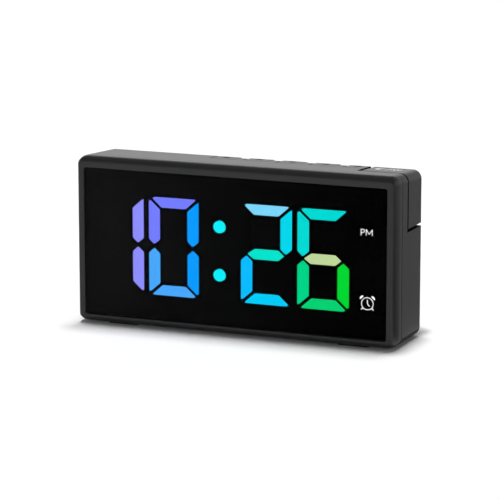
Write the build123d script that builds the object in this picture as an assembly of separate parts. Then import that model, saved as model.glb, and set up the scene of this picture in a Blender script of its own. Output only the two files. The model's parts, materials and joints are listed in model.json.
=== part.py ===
from build123d import *
import os
from math import cos, radians, sin

# Case. Depths run from the front face to the rear, heights from the underside of the case.
CASE_WIDTH = 140.0
CASE_HEIGHT = 70.0
CASE_DEPTH = 31.2
TOP_DROP = 1.8
CORNER_RADIUS = 3.6
FRONT_ROUND = 2.4
REAR_ROUND = 0.8
WALL = 2.0
FRAME_DEPTH = 8.1
SEAM_WIDTH = 0.24
SEAM_DEEP = 0.2
LIP_LENGTH = 1.5
LIP_THICK = 1.0

# Clearances.
FIT_GAP = 0.15
SLIDE_GAP = 0.3
THREAD_GAP = 0.05

# Rubber feet.
FOOT_PROUD = 0.4
FOOT_SUNK = 0.6
FOOT_LENGTH = 14.0
FOOT_WIDTH = 4.0
FOOT_INSET = 12.0
FOOT_FRONT = 5.6
FOOT_REAR = 4.4

# Window and the plate behind it.
WINDOW_SIDE = 3.6
WINDOW_TOP = 4.85
WINDOW_BOTTOM = 3.45
WINDOW_RECESS = 0.3
WINDOW_THICK = 1.5
WINDOW_CORNER = 1.0
TAPE_THICK = 0.2
TAPE_EDGE = 0.6
PLATE_THICK = 1.6
OPENING_SIDE = 4.0
OPENING_TOP = 8.8
OPENING_BOTTOM = 8.6

# Segment reflector, light guides and digits.
REFLECTOR_DEEP = 5.5
REFLECTOR_FLANGE = 1.0
GUIDE_DEEP = 1.5
MASK_THICK = 0.1
DIGIT_BORDER = 1.45
DIGIT_GAP = 2.15
COLON_SPACE = 18.5
MARK_COLUMN = 12.3
LEFT_STRIP = 16.9
UPRIGHT_THICK = 5.2
LEVEL_THICK = 4.6
SEGMENT_GAP = 0.68
DOT_RADIUS = 2.75
DOT_SPACING = 20.0
PM_WIDTH = 6.4
PM_TALL = 4.4
PM_DROP = 8.1
PM_SHIFT = 0.5
ALARM_RADIUS = 3.75
ALARM_RISE = 4.5
MARK_SHIFT = 7.95
LED_WIDTH = 3.2
LED_TALL = 2.8
LED_THICK = 0.9

# Display board.
BOARD_THICK = 1.6
BOARD_MARGIN = 2.5
BOARD_CLEAR = 0.6
BOARD_SCREW_IN = 16.5
BOARD_BOSS_RADIUS = 2.5
DRIVER_LENGTH = 10.0
DRIVER_WIDTH = 6.2
DRIVER_THICK = 1.7
DRIVER_GAP = 12.0

# Screws: shank radius, head radius, head thickness and cross slot.
CASE_SHANK = 1.5
CASE_HEAD = 2.8
CASE_HEAD_THICK = 1.8
SMALL_SHANK = 1.1
SMALL_HEAD = 2.1
SMALL_HEAD_THICK = 1.3
SLOT_WIDTH = 0.6
SLOT_DEEP = 0.7
THREAD_LENGTH = 4.0

# Case posts.
POST_INSET = 8.5
POST_LOW = 8.0
POST_HIGH = 10.0
POST_RADIUS = 4.0
BOSS_RADIUS = 3.0
HEAD_SUNK = 7.2

# Main board, held by standoffs on the rear wall.
MAIN_LEFT_GAP = 11.0
MAIN_RIGHT_GAP = 25.5
MAIN_LOW = 10.0
MAIN_TOP_GAP = 10.4
STANDOFF = 7.6
STANDOFF_RADIUS = 2.6
STANDOFF_EDGE = 3.2
CHIP_SIZE = 9.0
CHIP_THICK = 1.6
CRYSTAL_RADIUS = 1.5
CRYSTAL_LENGTH = 8.0
CAPACITOR_RADIUS = 2.5
CAPACITOR_TALL = 6.5
CAPACITOR_SPACING = 7.0
LINK_LENGTH = 15.4
LINK_WIDTH = 5.0
LINK_PIN_BASE = 2.5
LINK_IN = 26.0
LINK_BELOW_TOP = 7.0

# Buzzer and the sound holes in front of it.
BUZZER_RADIUS = 6.0
BUZZER_TALL = 6.8
BUZZER_PORT = 1.0
SOUND_HOLE = 0.8
SOUND_RING = 3.2
SOUND_COUNT = 6

# Power inlet, a vertical reversible socket.
INLET_WIDTH = 8.94
INLET_TALL = 3.2
INLET_SHELL = 0.3
INLET_IN = 14.0
INLET_RISE = 5.0
INLET_SUNK = 0.6
INLET_BASE = 0.8
TONGUE_WIDTH = 6.7
TONGUE_THICK = 0.7
TONGUE_SHORT = 1.0

# Coin cell (20 mm by 3.2 mm), its holder and contacts.
CELL_RADIUS = 10.0
CELL_THICK = 3.2
CELL_GAP = 0.8
CELL_BASE_THICK = 1.4
CELL_BASE_RIM = 1.6
CONTACT_THICK = 0.3
CONTACT_WIDTH = 4.0
CLIP_REACH = 3.0

# Quarter-turn battery door.
DOOR_RADIUS = 12.3
DOOR_THICK = 0.9
DOOR_SEAT = 1.1
DOOR_PLUG = 10.7
DOOR_LUG_WIDTH = 6.0
DOOR_LUG_REACH = 1.5
DOOR_LUG_THICK = 0.9
DOOR_LUG_GAP = 0.2
DOOR_TURN = 45.0
COIN_SLOT_LENGTH = 14.0
COIN_SLOT_WIDTH = 1.8
COIN_SLOT_DEEP = 0.5

# Top keys, counted from the snooze key towards the left.
KEY_NAMES = ["light", "alarm", "down", "up", "set"]
KEY_WIDTH = 10.5
KEY_GAP = 4.1
LIGHT_KEY_WIDTH = 9.05
KEY_DEEP = 8.8
KEY_CAP = 2.0
KEY_ROOM = 1.2
KEY_STEM_BACK = 5.4
KEY_EASE = 0.3
KEY_MARK_LENGTH = 3.2
KEY_MARK_WIDTH = 2.2
KEY_MARK_DEEP = 0.45
KEY_MARK_BACK = 3.8
NOTCH_LENGTH = 3.2
NOTCH_DEEP = 0.7
SHELF_THICK = 1.6
STEM_RADIUS = 1.6
BARB_RADIUS = 2.1
BARB_TALL = 0.8
STEM_LENGTH = 6.6

# Switches under the keys.
SWITCH_SIZE = 6.0
SWITCH_TALL = 3.4
PLUNGER_RADIUS = 1.7
PLUNGER_PROUD = 1.2
PLUNGER_SUNK = 1.2
PLUNGER_TRAVEL = 0.8
KEY_BOARD_FRONT = 11.7
KEY_BOARD_END = 3.3
RIBBON_WIDTH = 12.0
RIBBON_THICK = 0.3
RIBBON_LAP = 4.0

# Snooze key round the top right corner.
SNOOZE_WIDTH = 20.15
SNOOZE_DEEP = 15.95
SNOOZE_TALL = 23.3
SNOOZE_WALL = 2.0
SNOOZE_SIDE_GAP = 0.35
SNOOZE_LEFT_GAP = 1.6
SNOOZE_FRONT_GAP = 1.2
SNOOZE_LOW_GAP = 1.25
SNOOZE_EASE = 0.15
SNOOZE_STEM_IN = 4.3
SNOOZE_STEM_BACK = 7.2
LINER = 1.6


def back(depth):
    """Y of a depth behind the front face; the origin is midway through the case."""
    return depth - CASE_DEPTH / 2


def up(height):
    """Z of a height above the underside of the case, which stands on its feet."""
    return height + FOOT_PROUD


def top_at(depth):
    """Height of the sloping top face at a depth."""
    return CASE_HEIGHT - TOP_DROP * depth / CASE_DEPTH


def block(x0, x1, d0, d1, h0, h1):
    """Box between two values of X, depth and height."""
    middle = Pos((x0 + x1) / 2, back((d0 + d1) / 2), up((h0 + h1) / 2))
    return middle * Box(x1 - x0, d1 - d0, h1 - h0)


def panel(x0, x1, d0, d1, h0, h1, radius):
    """Box whose four edges along the depth are rounded."""
    plain = block(x0, x1, d0, d1, h0, h1)
    return fillet(plain.edges().filter_by(Axis.Y), radius)


def rod(x, height, radius, d0, d1):
    """Cylinder along the depth."""
    return Pos(x, back((d0 + d1) / 2), up(height)) * Rot(90, 0, 0) * Cylinder(radius, d1 - d0)


def post(x, depth, radius, h0, h1):
    """Upright cylinder."""
    return Pos(x, back(depth), up((h0 + h1) / 2)) * Cylinder(radius, h1 - h0)


def case_block(side, top, low, front, rear, corner):
    """Wedge-topped block inside the case outline, with its four long edges rounded."""
    outline = Polygon(
        (back(front), up(low)),
        (back(rear), up(low)),
        (back(rear), up(top_at(rear) - top)),
        (back(front), up(top_at(front) - top)),
        align=None,
    )
    solid = extrude(Plane.YZ * outline, CASE_WIDTH / 2 - side, both=True)
    long_edges = [edge for edge in solid.edges() if abs(edge.tangent_at(0.5).Y) > 0.9]
    return fillet(long_edges, corner)


def inset_block(inset, front, rear):
    """Case block drawn in by the same inset on all four sides."""
    return case_block(inset, inset, inset, front, rear, CORNER_RADIUS - inset)


def whole_case():
    """Outer form of the closed case."""
    solid = case_block(0, 0, 0, 0, CASE_DEPTH, CORNER_RADIUS)
    solid = fillet(solid.faces().sort_by(Axis.Y)[0].edges(), FRONT_ROUND)
    return fillet(solid.faces().sort_by(Axis.Y)[-1].edges(), REAR_ROUND)


case_form = whole_case()
case_half = CASE_WIDTH / 2
inner_half = case_half - WALL
rear_inside = CASE_DEPTH - WALL
rear_top = top_at(CASE_DEPTH)

window_half = case_half - WINDOW_SIDE
window_low = WINDOW_BOTTOM
window_high = CASE_HEIGHT - WINDOW_TOP
window_back = WINDOW_RECESS + WINDOW_THICK
plate_front = window_back + TAPE_THICK
plate_back = plate_front + PLATE_THICK

opening_half = window_half - OPENING_SIDE
opening_low = window_low + OPENING_BOTTOM
opening_high = window_high - OPENING_TOP

reflector_half = opening_half - FIT_GAP
reflector_low = opening_low + FIT_GAP
reflector_high = opening_high - FIT_GAP
reflector_back = plate_back + REFLECTOR_DEEP

post_x = case_half - POST_INSET
post_heights = (POST_LOW, CASE_HEIGHT - POST_HIGH)
post_places = [(side * post_x, height) for side in (-1, 1) for height in post_heights]

board_back = reflector_back + BOARD_THICK
board_low = WALL + BOARD_MARGIN
board_high = top_at(board_back) - WALL - BOARD_MARGIN
board_half = reflector_half + REFLECTOR_FLANGE
board_boss_heights = (board_low + BOARD_BOSS_RADIUS, board_high - BOARD_BOSS_RADIUS)
board_screw_x = post_x - BOARD_SCREW_IN
board_screws = [(side * board_screw_x, height) for side in (-1, 1) for height in board_boss_heights]

snooze_left = case_half - SNOOZE_WIDTH
snooze_stem = snooze_left + SNOOZE_STEM_IN
snooze_stem_depth = CASE_DEPTH - SNOOZE_STEM_BACK
snooze_front = CASE_DEPTH - SNOOZE_DEEP
snooze_low = CASE_HEIGHT - SNOOZE_TALL

light_right = snooze_left - SNOOZE_LEFT_GAP
light_left = light_right - LIGHT_KEY_WIDTH
other_rights = [light_left - KEY_GAP - index * (KEY_WIDTH + KEY_GAP) for index in range(len(KEY_NAMES) - 1)]
key_sides = [(light_left, light_right)] + [(right - KEY_WIDTH, right) for right in other_rights]
key_centres = [(left + right) / 2 for left, right in key_sides]
key_webs = [(after[1] + SLIDE_GAP, before[0] - SLIDE_GAP) for before, after in zip(key_sides, key_sides[1:])]
row_left = key_sides[-1][0] - SLIDE_GAP
key_front = CASE_DEPTH - KEY_DEEP
key_stem_depth = CASE_DEPTH - KEY_STEM_BACK
key_floor = rear_top - KEY_CAP - KEY_ROOM
shelf_low = key_floor - SHELF_THICK
stem_low = rear_top - STEM_LENGTH
switch_high = stem_low - PLUNGER_PROUD
key_board_high = switch_high - SWITCH_TALL
key_board_low = key_board_high - BOARD_THICK
key_board_left = key_centres[-1] - SWITCH_SIZE / 2 - KEY_BOARD_END
key_board_right = snooze_stem + KEY_BOARD_END
key_board_back = rear_inside - SLIDE_GAP
key_board_front = CASE_DEPTH - KEY_BOARD_FRONT
key_posts = [(key_centres[0] + key_centres[1]) / 2, (key_centres[-1] + key_centres[-2]) / 2]

main_back = rear_inside - STANDOFF
main_front = main_back - BOARD_THICK
main_left = MAIN_LEFT_GAP - post_x
main_right = post_x - MAIN_RIGHT_GAP
main_high = key_board_low - MAIN_TOP_GAP
main_x = (main_left + main_right) / 2
main_middle = (MAIN_LOW + main_high) / 2
standoffs = [
    (x, height)
    for x in (main_left + STANDOFF_EDGE, main_right - STANDOFF_EDGE)
    for height in (MAIN_LOW + STANDOFF_EDGE, main_high - STANDOFF_EDGE)
]

cell_half = CELL_RADIUS + CELL_BASE_RIM
cell_x = main_left + 2 * STANDOFF_EDGE + CELL_GAP + cell_half
cell_height = main_middle
cell_front = main_back + CELL_BASE_THICK + CONTACT_THICK
cell_back = cell_front + CELL_THICK
inlet_x = main_right - INLET_IN
inlet_height = MAIN_LOW + INLET_RISE
buzzer_x = (cell_x + cell_half + inlet_x - INLET_WIDTH / 2) / 2
buzzer_height = main_middle
link_x = main_right - LINK_IN
door_hole = DOOR_PLUG + SLIDE_GAP
seat_depth = CASE_DEPTH - DOOR_SEAT
lug_back = rear_inside - DOOR_LUG_GAP
lug_front = lug_back - DOOR_LUG_THICK


def segment_outline(name, width, height):
    """Corner points of one bar of a seven-bar digit, from its lower left corner."""
    a, b, gap = UPRIGHT_THICK, LEVEL_THICK, SEGMENT_GAP
    slope = b / a
    middle = height / 2
    tip = gap + a / 2 * slope
    level = [(gap, height), (width - gap, height), (width - a - gap, height - b), (a + gap, height - b)]
    upright = [
        (0, height - gap * slope),
        (a, height - b - gap * slope),
        (a, middle + tip),
        (a / 2, middle + gap),
        (0, middle + tip),
    ]
    across = [
        (a / 2 + gap, middle),
        (a + gap, middle + b / 2),
        (width - a - gap, middle + b / 2),
        (width - a / 2 - gap, middle),
        (width - a - gap, middle - b / 2),
        (a + gap, middle - b / 2),
    ]
    mirrored = [(width - x, z) for x, z in upright]
    return {
        "top": level,
        "bottom": [(x, height - z) for x, z in level],
        "middle": across,
        "upper_left": upright,
        "upper_right": mirrored,
        "lower_left": [(x, height - z) for x, z in upright],
        "lower_right": [(x, height - z) for x, z in mirrored],
    }[name]


def prism(points, d0, d1):
    """Outline in X and height, carried from one depth to another."""
    face = make_face(Polyline(*[Vector(x, back(d0), up(height)) for x, height in points], close=True))
    return extrude(face, amount=d1 - d0, dir=(0, 1, 0))


ALL_SEGMENTS = ["top", "upper_left", "upper_right", "middle", "lower_left", "lower_right", "bottom"]
digit_low = reflector_low + DIGIT_BORDER
digit_tall = reflector_high - DIGIT_BORDER - digit_low
row_width = 2 * reflector_half - MARK_COLUMN - LEFT_STRIP
digit_width = (row_width - UPRIGHT_THICK - 2 * DIGIT_GAP - COLON_SPACE) / 3
tens_left = LEFT_STRIP - reflector_half + UPRIGHT_THICK - digit_width
units_left = tens_left + digit_width + DIGIT_GAP
minute_tens_left = units_left + digit_width + COLON_SPACE
minute_units_left = minute_tens_left + digit_width + DIGIT_GAP
colon_x = minute_tens_left - COLON_SPACE / 2
digit_middle = digit_low + digit_tall / 2
dots = [(colon_x, digit_middle + side * DOT_SPACING / 2) for side in (-1, 1)]
mark_x = minute_units_left + digit_width + MARK_SHIFT
pm_x = mark_x - PM_SHIFT
pm_height = digit_low + digit_tall - PM_DROP
alarm_height = digit_low + ALARM_RISE
digits = {
    "hour_tens_segments": (tens_left, ["upper_right", "lower_right"]),
    "hour_units_segments": (units_left, ALL_SEGMENTS),
    "minute_tens_segments": (minute_tens_left, ALL_SEGMENTS),
    "minute_units_segments": (minute_units_left, ALL_SEGMENTS),
}


def placed_outlines(left, names):
    """Outlines of a digit's bars where they stand in the clock."""
    shapes = [segment_outline(name, digit_width, digit_tall) for name in names]
    return [[(left + x, digit_low + z) for x, z in shape] for shape in shapes]


def pm_block(d0, d1):
    """Light well of the afternoon mark."""
    x, z = PM_WIDTH / 2, PM_TALL / 2
    return block(pm_x - x, pm_x + x, d0, d1, pm_height - z, pm_height + z)


def segment_wells(d0, d1):
    """Every bar, dot and mark of the display between two depths."""
    bars = [prism(shape, d0, d1) for left, names in digits.values() for shape in placed_outlines(left, names)]
    round_ones = [rod(x, height, DOT_RADIUS, d0, d1) for x, height in dots]
    marks = [pm_block(d0, d1), rod(mark_x, alarm_height, ALARM_RADIUS, d0, d1)]
    return bars + round_ones + marks


def middle_of(points):
    """Mean of an outline's corners."""
    return sum(x for x, z in points) / len(points), sum(z for x, z in points) / len(points)


def cross_slot(head_radius):
    """Two crossed slots for a screwdriver, about the Z axis with their floor at zero."""
    bar = Box(2 * head_radius * 0.7, SLOT_WIDTH, 2 * SLOT_DEEP)
    return bar + Rot(0, 0, 90) * bar


def screw(shank, length, head, head_thick):
    """Pan head screw along Z: the head sits on zero and the shank hangs below it."""
    body = Pos(0, 0, head_thick / 2) * Cylinder(head, head_thick) + Pos(0, 0, -length / 2) * Cylinder(shank, length)
    return body - Pos(0, 0, head_thick) * cross_slot(head)


def rear_facing(x, height, depth):
    """Location on a depth plane with its Z axis pointing to the rear."""
    return Pos(x, back(depth), up(height)) * Rot(-90, 0, 0)


def feet():
    """Four strips, two under the frame and two under the housing."""
    x = case_half - FOOT_INSET - FOOT_LENGTH / 2
    places = [(side * x, depth) for side in (-1, 1) for depth in (FOOT_FRONT, CASE_DEPTH - FOOT_REAR)]
    half_length, half_width = FOOT_LENGTH / 2, FOOT_WIDTH / 2
    pads = []
    for x, depth in places:
        pad = block(x - half_length, x + half_length, depth - half_width, depth + half_width, -FOOT_PROUD, FOOT_SUNK)
        pads.append(fillet(pad.edges().filter_by(Axis.Z), half_width - FIT_GAP))
    return pads


def seam_groove():
    """Fine groove round the case where the frame meets the housing."""
    half = SEAM_WIDTH / 2
    skin = inset_block(-SEAM_DEEP, 0, CASE_DEPTH) - inset_block(SEAM_DEEP, -1, CASE_DEPTH + 1)
    front, rear = FRAME_DEPTH - half, FRAME_DEPTH + half
    return skin & block(-CASE_WIDTH, CASE_WIDTH, front, rear, -CASE_HEIGHT, 2 * CASE_HEIGHT)


def front_frame():
    """Bezel with the window rebate, the plate behind it and the screw bosses."""
    ahead = block(-CASE_WIDTH, CASE_WIDTH, -CASE_DEPTH, FRAME_DEPTH, -CASE_HEIGHT, 2 * CASE_HEIGHT)
    frame = case_form & ahead
    frame -= inset_block(WALL, plate_back, FRAME_DEPTH + WALL)
    frame += [rod(x, height, BOSS_RADIUS, plate_front, FRAME_DEPTH) for x, height in post_places]
    frame += [rod(x, height, BOARD_BOSS_RADIUS, plate_front, reflector_back) for x, height in board_screws]
    frame -= panel(-window_half, window_half, -1, plate_front, window_low, window_high, WINDOW_CORNER)
    frame -= panel(
        -opening_half, opening_half, plate_front - 1, plate_back + 1, opening_low, opening_high, WINDOW_CORNER
    )
    frame -= [rod(x, height, CASE_SHANK + THREAD_GAP, plate_back, FRAME_DEPTH + 1) for x, height in post_places]
    pilot = SMALL_SHANK + THREAD_GAP
    frame -= [rod(x, height, pilot, plate_back, reflector_back + 1) for x, height in board_screws]
    return frame - feet() - seam_groove()


def display_window():
    """Tinted sheet in the frame's rebate."""
    x = window_half - FIT_GAP
    low, high = window_low + FIT_GAP, window_high - FIT_GAP
    return panel(-x, x, WINDOW_RECESS, window_back, low, high, WINDOW_CORNER - FIT_GAP)


def window_tape():
    """Adhesive frame between the window and the plate."""
    x = window_half - TAPE_EDGE
    outer = panel(-x, x, window_back, plate_front, window_low + TAPE_EDGE, window_high - TAPE_EDGE, WINDOW_CORNER)
    x = opening_half + TAPE_EDGE
    return outer - block(-x, x, window_back, plate_front, opening_low - TAPE_EDGE, opening_high + TAPE_EDGE)


def segment_reflector():
    """Block of light wells, with a flange that the display board clamps to the plate."""
    x = reflector_half
    face = panel(-x, x, plate_front, plate_back, reflector_low, reflector_high, WINDOW_CORNER)
    x, out = board_half, REFLECTOR_FLANGE
    face += block(-x, x, plate_back, reflector_back, reflector_low - out, reflector_high + out)
    bosses = [rod(x, height, BOARD_BOSS_RADIUS + BOARD_CLEAR, plate_back, reflector_back) for x, height in board_screws]
    bosses += [rod(x, height, POST_RADIUS + BOARD_CLEAR, plate_back, reflector_back) for x, height in post_places]
    return face - bosses - segment_wells(plate_front, reflector_back)


def segment_mask(front):
    """Black sheet on the reflector's face, cut out for every light guide."""
    x = reflector_half
    sheet = block(-x, x, front, plate_front, reflector_low, reflector_high)
    return sheet - segment_wells(front, plate_front)


def segment_leds():
    """One chip at the bottom of each light well."""
    centres = [middle_of(shape) for left, names in digits.values() for shape in placed_outlines(left, names)]
    centres += dots + [(pm_x, pm_height), (mark_x, alarm_height)]
    x, z = LED_WIDTH / 2, LED_TALL / 2
    front = reflector_back - LED_THICK
    return [block(cx - x, cx + x, front, reflector_back, cz - z, cz + z) for cx, cz in centres]


def display_board():
    """Board behind the reflector, cut away at the corners for the case posts."""
    board = block(-board_half, board_half, reflector_back, board_back, board_low, board_high)
    reach = POST_RADIUS + BOARD_CLEAR
    for x, height in post_places:
        side = 1 if x > 0 else -1
        inner, outer = x - side * reach, x + side * CASE_WIDTH
        low, high = (height - reach, CASE_HEIGHT) if height > CASE_HEIGHT / 2 else (0, height + reach)
        board -= block(min(inner, outer), max(inner, outer), reflector_back - 1, board_back + 1, low, high)
    clear = SMALL_SHANK + FIT_GAP
    return board - [rod(x, height, clear, reflector_back - 1, board_back + 1) for x, height in board_screws]


def led_driver_chips():
    """Two drivers on the rear of the display board."""
    x, z = DRIVER_LENGTH / 2, DRIVER_WIDTH / 2
    away = LINK_LENGTH / 2 + DRIVER_GAP + x
    places = [link_x + side * away for side in (-1, 1)]
    rear = board_back + DRIVER_THICK
    return [block(cx - x, cx + x, board_back, rear, digit_middle - z, digit_middle + z) for cx in places]


def snooze_region(gap, grown):
    """Space of the snooze key, widened by its gaps and then by a wall."""
    left = snooze_left - SNOOZE_LEFT_GAP * gap - grown
    front = snooze_front - SNOOZE_FRONT_GAP * gap - grown
    low = snooze_low - SNOOZE_LOW_GAP * gap - grown
    return block(left, CASE_WIDTH, front, 2 * CASE_DEPTH, low, 2 * CASE_HEIGHT)


def snooze_core(extra):
    """Block that the key's shell and its running gaps go round."""
    side = SNOOZE_WALL + SNOOZE_SIDE_GAP + extra
    top = SNOOZE_WALL + KEY_ROOM + extra
    corner = max(CORNER_RADIUS - side, FIT_GAP)
    return case_block(side, top, WALL, 0, 2 * CASE_DEPTH, corner)


def key_pocket(left, right):
    """Space of one top key, open at the rear."""
    gap = SLIDE_GAP
    return block(left - gap, right + gap, key_front - gap, 2 * CASE_DEPTH, key_floor, 2 * CASE_HEIGHT)


def bayonet(radius, width, d0, d1, turn):
    """Bar across the door's centre, trimmed to a circle and turned about it."""
    bar = block(-width / 2, width / 2, d0, d1, -radius, radius)
    bar &= rod(0, 0, radius, d0, d1)
    return Pos(cell_x, 0, cell_height) * Pos(0, 0, FOOT_PROUD) * Rot(0, turn, 0) * Pos(0, 0, -FOOT_PROUD) * bar


def rear_housing():
    """Shell behind the parting line, with pockets, posts and openings."""
    behind = block(-CASE_WIDTH, CASE_WIDTH, FRAME_DEPTH, 2 * CASE_DEPTH, -CASE_HEIGHT, 2 * CASE_HEIGHT)
    shell = case_form & behind
    shell -= inset_block(WALL, 0, rear_inside)
    lip_front = FRAME_DEPTH - LIP_LENGTH
    lip = inset_block(WALL + FIT_GAP, lip_front, FRAME_DEPTH + LIP_LENGTH)
    lip += inset_block(WALL / 2, FRAME_DEPTH, FRAME_DEPTH + LIP_LENGTH)
    shell += lip - inset_block(WALL + FIT_GAP + LIP_THICK, 0, CASE_DEPTH)

    shelf_left = row_left - LINER
    shelf_front = key_front - SLIDE_GAP - LINER
    shell += case_form & block(
        shelf_left, snooze_left - SNOOZE_LEFT_GAP, shelf_front, CASE_DEPTH - WALL / 2, shelf_low, CASE_HEIGHT
    )
    liner = case_form & snooze_region(1, LINER)
    shell += liner - snooze_core(LINER)
    shell += [rod(x, height, POST_RADIUS, FRAME_DEPTH + FIT_GAP, rear_inside + WALL / 2) for x, height in post_places]
    shell += [rod(x, height, STANDOFF_RADIUS, main_back, rear_inside + WALL / 2) for x, height in standoffs]
    shell += [post(x, key_stem_depth, BOARD_BOSS_RADIUS, key_board_high, key_floor) for x in key_posts]

    shell -= snooze_region(1, 0) - snooze_core(0)
    shell -= [key_pocket(left, right) for left, right in key_sides]
    notch_front, notch_low = CASE_DEPTH - NOTCH_LENGTH, rear_top - NOTCH_DEEP
    shell -= [block(left, right, notch_front, 2 * CASE_DEPTH, notch_low, 2 * CASE_HEIGHT) for left, right in key_webs]
    bore = STEM_RADIUS + SLIDE_GAP
    shell -= [post(x, key_stem_depth, bore, shelf_low - WALL, CASE_HEIGHT) for x in key_centres]
    shell -= post(snooze_stem, snooze_stem_depth, bore, shelf_low - WALL, CASE_HEIGHT)
    pilot = SMALL_SHANK + THREAD_GAP
    shell -= [post(x, key_stem_depth, pilot, key_board_low, key_board_high + THREAD_LENGTH) for x in key_posts]

    clear = CASE_SHANK + FIT_GAP
    shell -= [rod(x, height, clear, 0, 2 * CASE_DEPTH) for x, height in post_places]
    sunk = CASE_DEPTH - HEAD_SUNK
    shell -= [rod(x, height, CASE_HEAD + FIT_GAP, sunk, 2 * CASE_DEPTH) for x, height in post_places]
    shell -= [rod(x, height, pilot, main_back - 1, main_back + THREAD_LENGTH) for x, height in standoffs]

    shell -= rod(cell_x, cell_height, DOOR_RADIUS + SLIDE_GAP, seat_depth, 2 * CASE_DEPTH)
    shell -= rod(cell_x, cell_height, door_hole, rear_inside - 1, CASE_DEPTH)
    lug = DOOR_PLUG + DOOR_LUG_REACH + SLIDE_GAP
    shell -= bayonet(lug, DOOR_LUG_WIDTH + 2 * SLIDE_GAP, rear_inside - 1, CASE_DEPTH, DOOR_TURN)

    x, z = INLET_WIDTH / 2 + SLIDE_GAP, INLET_TALL / 2 + SLIDE_GAP
    shell -= panel(
        inlet_x - x, inlet_x + x, rear_inside - 1, 2 * CASE_DEPTH, inlet_height - z, inlet_height + z, z - FIT_GAP
    )
    angles = [radians(360 * index / SOUND_COUNT) for index in range(SOUND_COUNT)]
    holes = [(buzzer_x, buzzer_height)]
    holes += [(buzzer_x + SOUND_RING * cos(turn), buzzer_height + SOUND_RING * sin(turn)) for turn in angles]
    shell -= [rod(x, height, SOUND_HOLE, rear_inside - 1, 2 * CASE_DEPTH) for x, height in holes]
    return shell - feet() - seam_groove()


def battery_door():
    """Round cover with a plug, two bayonet lugs and a coin slot."""
    front = seat_depth + (DOOR_SEAT - DOOR_THICK) / 2
    door = rod(cell_x, cell_height, DOOR_RADIUS, front, front + DOOR_THICK)
    door += rod(cell_x, cell_height, DOOR_PLUG, lug_front, front + DOOR_THICK / 2)
    door += bayonet(DOOR_PLUG + DOOR_LUG_REACH, DOOR_LUG_WIDTH, lug_front, lug_back, 0)
    x, z = COIN_SLOT_LENGTH / 2, COIN_SLOT_WIDTH / 2
    face = front + DOOR_THICK
    door -= block(cell_x - x, cell_x + x, face - COIN_SLOT_DEEP, face + 1, cell_height - z, cell_height + z)
    hollow = DOOR_PLUG - WALL
    return door - rod(cell_x, cell_height, hollow, lug_front - 1, front - FIT_GAP)


def main_board():
    """Board on the standoffs."""
    board = block(main_left, main_right, main_front, main_back, MAIN_LOW, main_high)
    clear = SMALL_SHANK + FIT_GAP
    return board - [rod(x, height, clear, main_front - 1, main_back + 1) for x, height in standoffs]


def on_main_front(x, height, length, width, thick):
    """Block soldered to the front of the main board."""
    return block(
        x - length / 2, x + length / 2, main_front - thick, main_front, height - width / 2, height + width / 2
    )


def board_link():
    """Socket on the display board and the pin base on the main board, end to end."""
    height = main_high - LINK_BELOW_TOP
    x, z = LINK_LENGTH / 2, LINK_WIDTH / 2
    meet = main_front - LINK_PIN_BASE
    low, high = height - z, height + z
    socket = block(link_x - x, link_x + x, board_back, meet, low, high)
    pins = block(link_x - x, link_x + x, meet, main_front, low, high)
    return socket, pins


def power_inlet():
    """Rounded metal shell with a solid base, and the contact tongue inside it."""
    mouth = CASE_DEPTH - INLET_SUNK
    x, z = INLET_WIDTH / 2, INLET_TALL / 2
    shell = panel(inlet_x - x, inlet_x + x, main_back, mouth, inlet_height - z, inlet_height + z, z - FIT_GAP)
    floor = main_back + INLET_BASE
    x, z = x - INLET_SHELL, z - INLET_SHELL
    shell -= panel(inlet_x - x, inlet_x + x, floor, mouth + 1, inlet_height - z, inlet_height + z, z - FIT_GAP)
    x, z = TONGUE_WIDTH / 2, TONGUE_THICK / 2
    tongue = block(inlet_x - x, inlet_x + x, floor, mouth - TONGUE_SHORT, inlet_height - z, inlet_height + z)
    return shell, tongue


def buzzer():
    """Round buzzer with a sound port."""
    rear = main_back + BUZZER_TALL
    body = rod(buzzer_x, buzzer_height, BUZZER_RADIUS, main_back, rear)
    return body - rod(buzzer_x, buzzer_height, BUZZER_PORT, rear - BUZZER_PORT, rear + 1)


def cell_holder():
    """Base plate, spring strip under the cell and the clip over its edge."""
    half = cell_half
    low, high = cell_height - half, cell_height + half
    floor = main_back + CELL_BASE_THICK
    base = panel(cell_x - half, cell_x + half, main_back, floor, low, high, CELL_BASE_RIM)
    wide = CONTACT_WIDTH / 2
    spring = block(cell_x - CELL_RADIUS, cell_x + CELL_RADIUS, floor, cell_front, cell_height - wide, cell_height + wide)
    side = cell_height + CELL_RADIUS + THREAD_GAP
    leg = side + CONTACT_THICK
    over = cell_back + CONTACT_THICK
    clip = block(cell_x - wide, cell_x + wide, floor, over, side, leg)
    clip += block(cell_x - wide, cell_x + wide, cell_back, over, side - CLIP_REACH, leg)
    return base, spring, clip


def key_ribbon():
    """Flat cable lying on the main board and rising to the key board."""
    half = RIBBON_WIDTH / 2
    x = main_right - half - 2 * STANDOFF_EDGE
    return block(x - half, x + half, main_front - RIBBON_THICK, main_front, main_high - RIBBON_LAP, key_board_low)


def key_board():
    """Strip that carries the switches under the keys."""
    board = block(key_board_left, key_board_right, key_board_front, key_board_back, key_board_low, key_board_high)
    clear = SMALL_SHANK + FIT_GAP
    return board - [post(x, key_stem_depth, clear, key_board_low - 1, key_board_high + 1) for x in key_posts]


def switch(x, depth):
    """Switch case with a well for its plunger."""
    half = SWITCH_SIZE / 2
    body = block(x - half, x + half, depth - half, depth + half, key_board_high, switch_high)
    well = PLUNGER_SUNK + PLUNGER_TRAVEL + FIT_GAP
    return body - post(x, depth, PLUNGER_RADIUS + SLIDE_GAP / 2, switch_high - well, switch_high + 1)


def plunger(x, depth):
    """Button of a switch, touching the key's stem."""
    return post(x, depth, PLUNGER_RADIUS, switch_high - PLUNGER_SUNK, stem_low)


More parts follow.
